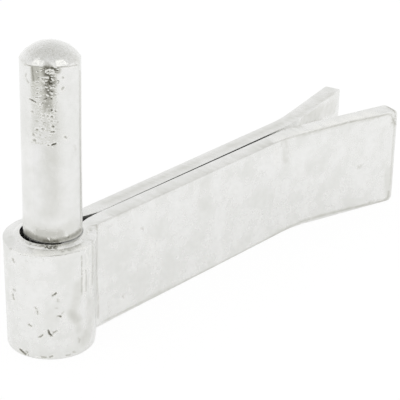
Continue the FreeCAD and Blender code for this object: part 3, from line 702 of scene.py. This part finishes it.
GLEAMS = {
    "band_first": Mark(((54.6, 66.9), (56.6, 67.6)), 0.8, 0, -0.9),
    "band_second": Mark(((50.6, 73.4), (53, 74)), 0.8, 0, -0.8),
    "band_third": Mark(((42.4, 81.6), (44, 82)), 0.9, 0, -0.9),
    "band_fourth": Mark(((51.4, 94.2), (52.6, 94.4)), 0.7, 0, -0.7),
    "dome_left": Mark(((33, 63), (36.5, 60), (40.5, 62.8)), 2.2, 0, -0.8),
    "dome_left_edge": Mark(((33, 64.6), (42, 65.4)), 1.0, 0, -0.8),
    "dome_middle": Mark(((52.4, 63.2), (54.4, 64.8)), 1.2, 0, -0.8),
    "dome_right": Mark(((57, 63.8), (61, 60.4), (64.6, 63.4)), 1.8, 0, -0.7),
    "foot_flecks": Mark(((48, 238.6), (49.5, 239.2)), 0.7, 0, -0.5),
}
# Darker patches and haze on the dome; edge_head is painted shade along the dome's lower edge.
DOME_DARK_PATCHES = {
    "left_patch": Mark(((31, 54.6), (36, 57)), 4, 0.04, 0.18),
    "left_dash": Mark(((36, 52.6), (39, 53.4)), 1.2, 0.03, 0.3),
    "left_edge": Mark(((22, 60), (27, 63)), 3, 0, 0.15),
    "haze": Mark(((34, 54), (48, 50.5), (62, 56), (72, 60)), 12, 0, 0.2),
    "edge_head": Mark(((44, 66.3), (52, 66.6)), 1.4, 0.02, 0.7),
}
PITTED_FOOT = 60 * MM
PITTED_PIXELS = (28, 68)
DOME_MARGIN = 0.1 * MM
SIDE_MARGIN = 1 * MM
DOME_HOLLOWS = Hollows(size=2.4 * MM, depth=0.14 * MM, seed=2)
DOME_GRAIN = Hollows(size=0.9 * MM, depth=0.07 * MM, seed=6)
SIDE_WAVES = Hollows(size=5 * MM, depth=0.02 * MM, seed=4)
DOME_FLECKS = Flecks(size=0.38 * MM, amount=0.22)

# Small pits, sown down the pin. They crowd near the dome, spread and grow paler on the way down, and some
# have a painted highlight below them. Places, lengths and reaches are pixels, and depths are millimetres.
SMALL_PITS = 330
PIT_SEED = 11
PIT_CROWDING = 2.1
PIT_TOP = 68
PIT_DROP = 76
PIT_MIDDLE = 49.5
PIT_DRIFT = 4
PIT_SPREAD = 4.4
PIT_WIDENING = 4
PIT_LEFT = 31
PIT_RIGHT = 59
PIT_HALF_LENGTHS = (0.1, 0.9)
PIT_TILT = 0.4
PIT_DARKENINGS = (0.45, 1.0)
PIT_PALING = 0.75
PIT_REACHES = (0.55, 0.95)
PIT_DEPTHS = (0.05, 0.12)
PIT_LIT_CHANCE = 0.6
PIT_LIT_LOSS = 0.4
PIT_LIT_BELOW = 1.6
PIT_LIT_REACH = 0.7
PIT_LIT_TONE = 0.8


def is_pitted(places):
    """Tell the places on the pin's upper length, on the camera's side, where the small pits lie."""
    across = pixels_of(places)[0][:, 0]
    near = places[:, :2] @ np.array(FORWARD)[:2] < 0
    return near & (places[:, 2] > PITTED_FOOT) & (across > PITTED_PIXELS[0]) & (across < PITTED_PIXELS[1])


def scatter_pits():
    """Sow small pits down the pin: crowded under the dome, fewer lower down, and most a little right."""
    chance = random.Random(PIT_SEED)
    pits = []
    for _ in range(SMALL_PITS):
        fall = chance.random() ** PIT_CROWDING
        down = PIT_TOP + PIT_DROP * fall
        across = chance.gauss(PIT_MIDDLE - PIT_DRIFT * fall, PIT_SPREAD + PIT_WIDENING * fall)
        if not PIT_LEFT < across < PIT_RIGHT:
            continue
        half_length = chance.uniform(*PIT_HALF_LENGTHS)
        tilt = chance.uniform(-PIT_TILT, PIT_TILT)
        strength = chance.uniform(*PIT_DARKENINGS) * (1 - PIT_PALING * fall)
        line = ((across - half_length, down - tilt), (across + half_length, down + tilt))
        pits.append(Mark(line, chance.uniform(*PIT_REACHES), chance.uniform(*PIT_DEPTHS), strength))
        if chance.random() < PIT_LIT_CHANCE - PIT_LIT_LOSS * fall:
            below = down + PIT_LIT_BELOW
            lit = ((across - half_length, below), (across + half_length, below))
            pits.append(Mark(lit, PIT_LIT_REACH, 0, PIT_LIT_TONE * (fall - 1)))
    return pits


def is_dome(places):
    """Tell the places on the dome."""
    return places[:, 2] > PIN_TOP + DOME_MARGIN


def on_dome(place):
    """Tell how much of the dome's hollows a place takes: none at the crown or on the straight side."""
    return 1 if PIN_TOP - DOME_MARGIN < place.z < PIN_TOP + DOME_RISE - DOME_MARGIN else 0


def on_side(place):
    """Tell how much of the side's soft waves a place takes."""
    return 1 if SEAT_TOP < place.z < PIN_TOP - SIDE_MARGIN else 0


def wear_pin(pin):
    """Give the pin the pits and hammered dome of the photograph, with its painted shade, painted reflections
    and painted highlights.
    """
    refine(pin, is_pitted(face_middles(pin)), cuts=2)
    surface = Surface(pin)
    surface.roughen(DOME_HOLLOWS, on_dome)
    surface.roughen(DOME_GRAIN, on_dome)
    surface.roughen(SIDE_WAVES, on_side)
    for marks in (DOME_DARK_PATCHES, PIN_PAINTED_SHADE):
        for mark in marks.values():
            surface.add(mark, SOFTLY)
    surface.fleck(DOME_FLECKS, is_dome)
    for mark in scatter_pits():
        surface.add(mark)
    for mark in GLEAMS.values():
        surface.add(mark)
    for mark in PITS.values():
        surface.add(mark, UNEVENLY)
    surface.press()


pin = make_pin()
wear_pin(pin)


# Finish: bright zinc plating

def add_node(tree, kind, **settings):
    """Add a shader node and set its values by name."""
    node = tree.nodes.new(kind)
    for key, value in settings.items():
        if key in node.inputs:
            node.inputs[key].default_value = value
        else:
            setattr(node, key, value)
    return node


# Colours of dark marks and painted shade, from faint olive to near black, and the pale colour of painted
# highlights, which also take less metal.
FAINT_DARK_TONE = (0.30, 0.287, 0.18, 1)
DEEP_DARK_TONE = (0.033, 0.028, 0.012, 1)
PAINTED_HIGHLIGHT_COLOUR = (0.97, 0.965, 0.93, 1)
HIGHLIGHT_LESS_METAL = 0.75
BLOTCH_SCALE = 130.0
CLOUD_SCALE = 520.0
CLOUD_SHARE = 0.3
DARK_UNDER = 0.36
PALE_OVER = 0.62
DARK_TINT = (1, 1.003, 0.975)
PALE_TINT = (1, 1, 0.985)
DULL_IN_DARK = 1.15
DULL_IN_PALE = 0.9
DULL_IN_DARKENING = 0.35
GRAIN_HEIGHT = 0.06 * MM
SMOOTH_UNDER = math.radians(32)


def zinc(name, tone, cloudy, roughness, grain):
    """Make a zinc plate finish: a pale metal, cloudy and finely pitted, with dark marks, painted shade and
    painted highlights.
    """
    finish = bpy.data.materials.new(name)
    finish.use_nodes = True
    tree = finish.node_tree
    link = tree.links.new
    shader = tree.nodes["Principled BSDF"]
    place = add_node(tree, "ShaderNodeTexCoord")

    blotch = add_node(tree, "ShaderNodeTexNoise", Scale=BLOTCH_SCALE, Detail=2.0, Roughness=0.5)
    link(place.outputs["Object"], blotch.inputs["Vector"])
    cloud = add_node(tree, "ShaderNodeTexNoise", Scale=CLOUD_SCALE, Detail=3.0, Roughness=0.6)
    link(place.outputs["Object"], cloud.inputs["Vector"])
    both = add_node(tree, "ShaderNodeMix", data_type="FLOAT")
    both.inputs[0].default_value = CLOUD_SHARE
    link(blotch.outputs["Fac"], both.inputs[2])
    link(cloud.outputs["Fac"], both.inputs[3])
    shade = add_node(tree, "ShaderNodeValToRGB")
    dark = tone * (1 - cloudy)
    pale = tone * (1 + cloudy / 2)
    low, high = shade.color_ramp.elements
    low.position = DARK_UNDER
    low.color = (*(dark * part for part in DARK_TINT), 1)
    high.position = PALE_OVER
    high.color = (*(pale * part for part in PALE_TINT), 1)
    link(both.outputs[0], shade.inputs["Fac"])

    soil = add_node(tree, "ShaderNodeAttribute", attribute_name="soil")
    darker_share = add_node(tree, "ShaderNodeMath", operation="MAXIMUM")
    darker_share.inputs[1].default_value = 0
    link(soil.outputs["Fac"], darker_share.inputs[0])
    # Painted highlights: where the stored value is below zero the metal turns paler and less metallic.
    bright = add_node(tree, "ShaderNodeMath", operation="MULTIPLY", use_clamp=True)
    bright.inputs[1].default_value = -1
    link(soil.outputs["Fac"], bright.inputs[0])
    metal = add_node(tree, "ShaderNodeMath", operation="MULTIPLY_ADD")
    metal.inputs[1].default_value = -HIGHLIGHT_LESS_METAL
    metal.inputs[2].default_value = 1
    link(bright.outputs[0], metal.inputs[0])
    link(metal.outputs["Value"], shader.inputs["Metallic"])
    highlight_mix = add_node(tree, "ShaderNodeMix", data_type="RGBA")
    highlight_mix.inputs[7].default_value = PAINTED_HIGHLIGHT_COLOUR
    link(bright.outputs[0], highlight_mix.inputs[0])
    link(shade.outputs["Color"], highlight_mix.inputs[6])
    dark_tone_mix = add_node(tree, "ShaderNodeMix", data_type="RGBA")
    dark_tone_mix.inputs[6].default_value = FAINT_DARK_TONE
    dark_tone_mix.inputs[7].default_value = DEEP_DARK_TONE
    link(darker_share.outputs[0], dark_tone_mix.inputs[0])
    darkened_colour = add_node(tree, "ShaderNodeMix", data_type="RGBA")
    link(dark_tone_mix.outputs[2], darkened_colour.inputs[7])
    link(darker_share.outputs[0], darkened_colour.inputs[0])
    link(highlight_mix.outputs[2], darkened_colour.inputs[6])
    link(darkened_colour.outputs[2], shader.inputs["Base Color"])

    rough = add_node(tree, "ShaderNodeMapRange")
    rough.inputs["From Min"].default_value = DARK_UNDER
    rough.inputs["From Max"].default_value = PALE_OVER
    rough.inputs["To Min"].default_value = roughness * DULL_IN_DARK
    rough.inputs["To Max"].default_value = roughness * DULL_IN_PALE
    link(both.outputs[0], rough.inputs["Value"])
    dull = add_node(tree, "ShaderNodeMath", operation="MULTIPLY_ADD")
    dull.inputs[1].default_value = DULL_IN_DARKENING
    link(darker_share.outputs[0], dull.inputs[0])
    link(rough.outputs["Result"], dull.inputs[2])
    link(dull.outputs["Value"], shader.inputs["Roughness"])

    bump = add_node(tree, "ShaderNodeBump", Strength=grain, Distance=GRAIN_HEIGHT)
    link(cloud.outputs["Fac"], bump.inputs["Height"])
    link(bump.outputs["Normal"], shader.inputs["Normal"])
    return finish


BEAD_MIDDLE = Vector((-0.25, 0.12, 32.5)) * MM
BEAD_OUT = 8.26 * MM
BEAD_RADIUS = 0.26 * MM
BEAD_FROM = math.radians(243)
BEAD_TURN = math.radians(100)
BEAD_SIDES = 10
BEAD_STEPS = 48
BEAD_SAME_PLACE = 0.0001 * MM


def make_bead():
    """Lay a darker bead that fills the crevice between the pin and the lip on the right."""
    heading = Vector((math.cos(BEAD_FROM), math.sin(BEAD_FROM), 0))
    bpy.ops.object.select_all(action="DESELECT")
    bpy.ops.mesh.primitive_circle_add(
        vertices=BEAD_SIDES, radius=BEAD_RADIUS, fill_type="NGON", enter_editmode=True,
        location=BEAD_MIDDLE + heading * BEAD_OUT, rotation=(math.radians(90), 0, BEAD_FROM))
    bead = bpy.context.active_object
    bead.name = "crevice_bead"
    bpy.ops.mesh.select_all(action="SELECT")
    bpy.ops.mesh.spin(steps=BEAD_STEPS, angle=-BEAD_TURN, center=BEAD_MIDDLE, axis=(0, 0, 1))
    bpy.ops.mesh.select_all(action="SELECT")
    bpy.ops.mesh.remove_doubles(threshold=BEAD_SAME_PLACE)
    bpy.ops.mesh.normals_make_consistent(inside=False)
    close_mesh()
    take(bead)
    bpy.ops.object.transform_apply(location=True, rotation=True, scale=True)
    return bead


def finish_piece(piece, finish):
    """Give a piece its finish, smooth it and let it ride on the part."""
    piece.data.materials.append(finish)
    take(piece)
    bpy.ops.object.shade_smooth_by_angle(angle=SMOOTH_UNDER)
    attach(piece, "root")


finish_piece(strap, zinc("zinc_on_strap", tone=0.85, cloudy=0.055, roughness=0.27, grain=0.2))
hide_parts("strap")
finish_piece(pin, zinc("zinc_on_pin", tone=0.84, cloudy=0.05, roughness=0.18, grain=0.25))
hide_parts("pin")
finish_piece(make_bead(), zinc("darker_zinc_in_crevice", tone=0.5, cloudy=0.3, roughness=0.6, grain=0.5))


# Studio

FLOOR_SIZE = 6
CARD_STEPS = 32


def add_rays(tree, names):
    """Return a value that is 1 for the named kinds of ray."""
    rays = add_node(tree, "ShaderNodeLightPath")
    total = rays.outputs[names[0]]
    for name in names[1:]:
        either = add_node(tree, "ShaderNodeMath", operation="MAXIMUM")
        tree.links.new(total, either.inputs[0])
        tree.links.new(rays.outputs[name], either.inputs[1])
        total = either.outputs[0]
    return total


def lit_paper(tree, share, glow):
    """Add a paper that is lit for its share, and glows for the rest."""
    matt = add_node(tree, "ShaderNodeBsdfDiffuse", Color=(share, share, share, 1))
    light = add_node(tree, "ShaderNodeEmission", Strength=glow)
    both = add_node(tree, "ShaderNodeAddShader")
    tree.links.new(matt.outputs[0], both.inputs[0])
    tree.links.new(light.outputs[0], both.inputs[1])
    return both.outputs[0]


def mix_by(tree, factor, first, second):
    """Mix two shaders by a value and return the mix."""
    mix = add_node(tree, "ShaderNodeMixShader")
    tree.links.new(factor, mix.inputs[0])
    tree.links.new(first, mix.inputs[1])
    tree.links.new(second, mix.inputs[2])
    return mix.outputs[0]


def make_floor():
    """Lay a white floor: plain white to the camera, and shaded under the object as the metal sees it."""
    bpy.ops.object.select_all(action="DESELECT")
    bpy.ops.mesh.primitive_plane_add(size=FLOOR_SIZE, location=(0, 0, 0))
    floor = bpy.context.active_object
    floor.name = "floor"
    paper = bpy.data.materials.new("white_paper")
    paper.use_nodes = True
    tree = paper.node_tree
    tree.nodes.clear()
    out = add_node(tree, "ShaderNodeOutputMaterial")
    matt = lit_paper(tree, share=0.8, glow=0)
    in_metal = lit_paper(tree, share=0.68, glow=0.40)
    plain = lit_paper(tree, share=0.14, glow=0.89)
    seen_in_metal = mix_by(tree, add_rays(tree, ["Is Glossy Ray"]), matt, in_metal)
    seen = mix_by(tree, add_rays(tree, ["Is Camera Ray", "Is Transmission Ray"]), seen_in_metal, plain)
    tree.links.new(seen, out.inputs["Surface"])
    floor.data.materials.append(paper)


def glow_material(name, colour, near=None, far=None, near_colour=None):
    """Make a card that glows evenly, or that changes colour away from the object's foot."""
    card = bpy.data.materials.new(name)
    card.use_nodes = True
    tree = card.node_tree
    tree.nodes.clear()
    out = add_node(tree, "ShaderNodeOutputMaterial")
    glow = add_node(tree, "ShaderNodeEmission", Color=(*colour, 1))
    if near:
        place = add_node(tree, "ShaderNodeTexCoord")
        flat = add_node(tree, "ShaderNodeVectorMath", operation="MULTIPLY")
        flat.inputs[1].default_value = (1, 1, 0)
        away = add_node(tree, "ShaderNodeVectorMath", operation="LENGTH")
        share = add_node(tree, "ShaderNodeMapRange")
        share.inputs["From Min"].default_value = near
        share.inputs["From Max"].default_value = far
        tone = add_node(tree, "ShaderNodeMix", data_type="RGBA")
        tone.inputs[6].default_value = (*near_colour, 1)
        tone.inputs[7].default_value = (*colour, 1)
        tree.links.new(place.outputs["Object"], flat.inputs[0])
        tree.links.new(flat.outputs[0], away.inputs[0])
        tree.links.new(away.outputs["Value"], share.inputs["Value"])
        tree.links.new(share.outputs["Result"], tone.inputs[0])
        tree.links.new(tone.outputs[2], glow.inputs["Color"])
    tree.links.new(glow.outputs[0], out.inputs["Surface"])
    return card


def sweep_card(name, foot, head, start, turn, card):
    """Sweep a line from foot to head (each a distance out and a height) round the pin, and finish it."""
    heading = Vector((math.cos(start), math.sin(start), 0))
    bpy.ops.object.select_all(action="DESELECT")
    bpy.ops.mesh.primitive_plane_add(size=1, enter_editmode=True, location=(0, 0, 0))
    screen = bpy.context.active_object
    screen.name = name
    bpy.ops.mesh.delete(type="ONLY_FACE")
    mesh = bmesh.from_edit_mesh(screen.data)
    corners = list(mesh.verts)
    for vertex in corners[2:]:
        mesh.verts.remove(vertex)
    for vertex, (out, height) in zip(corners, (foot, head)):
        vertex.co = heading * out + Vector((0, 0, height))
    bmesh.update_edit_mesh(screen.data)
    bpy.ops.mesh.select_all(action="SELECT")
    bpy.ops.mesh.spin(steps=CARD_STEPS, angle=-turn, center=(0, 0, 0), axis=(0, 0, 1))
    close_mesh()
    screen.data.materials.append(card)
    screen.visible_camera = False
    screen.visible_diffuse = False
    screen.visible_shadow = False
    screen.visible_transmission = False
    screen.visible_volume_scatter = False


TOWARD_CAMERA = LOOK_AZIMUTH + math.pi
SCREEN_OUT = 205 * MM
SCREEN_HEIGHT = 30 * MM
SCREEN_FROM = math.radians(-68)
SCREEN_TURN = math.radians(94)
SCREEN_COLOUR = (0.56, 0.56, 0.47)
APRON_OUT = 80 * MM
APRON_LIFT = 0.5 * MM
APRON_NEAR_COLOUR = (0.97, 0.97, 0.97)
APRON_FAR_COLOUR = (0.95, 0.95, 0.96)
LAMP_OUT = 707 * MM
LAMP_HIGH_OUT = 500 * MM
LAMP_LOW = 707 * MM
LAMP_HIGH = 866 * MM
LEFT_LAMP = (math.radians(143), math.radians(29))
RIGHT_LAMP = (math.radians(258), math.radians(42))
LAMP_COLOUR = (1.2, 1.2, 1.18)


def make_screens():
    """Stand a grey screen by the camera, paper at its foot and two lamps high up, for the metal only."""
    start = TOWARD_CAMERA + SCREEN_FROM
    sweep_card("screen", (SCREEN_OUT, 0), (SCREEN_OUT, SCREEN_HEIGHT), start, SCREEN_TURN,
               glow_material("grey_screen", SCREEN_COLOUR))
    paper = glow_material("shaded_paper", APRON_FAR_COLOUR, APRON_OUT, SCREEN_OUT, APRON_NEAR_COLOUR)
    sweep_card("apron", (APRON_OUT, APRON_LIFT), (SCREEN_OUT, APRON_LIFT), start, SCREEN_TURN, paper)
    lamp = glow_material("soft_lamp", LAMP_COLOUR)
    for name, (lamp_start, lamp_turn) in (("left_lamp", LEFT_LAMP), ("right_lamp", RIGHT_LAMP)):
        sweep_card(name, (LAMP_OUT, LAMP_LOW), (LAMP_HIGH_OUT, LAMP_HIGH), lamp_start, lamp_turn, lamp)


HORIZON_LIGHT = 1.0
ZENITH_LIGHT = 0.8


def light_studio():
    """Surround the object with soft white light, a little weaker overhead, on a white backdrop."""
    world = bpy.data.worlds.new("studio")
    bpy.context.scene.world = world
    world.use_nodes = True
    tree = world.node_tree
    air = tree.nodes["Background"]
    heading = add_node(tree, "ShaderNodeTexCoord")
    parts = add_node(tree, "ShaderNodeSeparateXYZ")
    tone = add_node(tree, "ShaderNodeMapRange")
    tone.inputs["To Min"].default_value = HORIZON_LIGHT
    tone.inputs["To Max"].default_value = ZENITH_LIGHT
    level = add_node(tree, "ShaderNodeMath", operation="MAXIMUM")
    tree.links.new(heading.outputs["Generated"], parts.inputs[0])
    tree.links.new(parts.outputs["Z"], tone.inputs["Value"])
    tree.links.new(tone.outputs["Result"], level.inputs[0])
    tree.links.new(add_rays(tree, ["Is Camera Ray"]), level.inputs[1])
    air.inputs["Color"].default_value = (1, 1, 1, 1)
    tree.links.new(level.outputs[0], air.inputs["Strength"])


make_floor()
make_screens()
light_studio()
set_camera()
bpy.context.scene.view_settings.view_transform = "Standard"
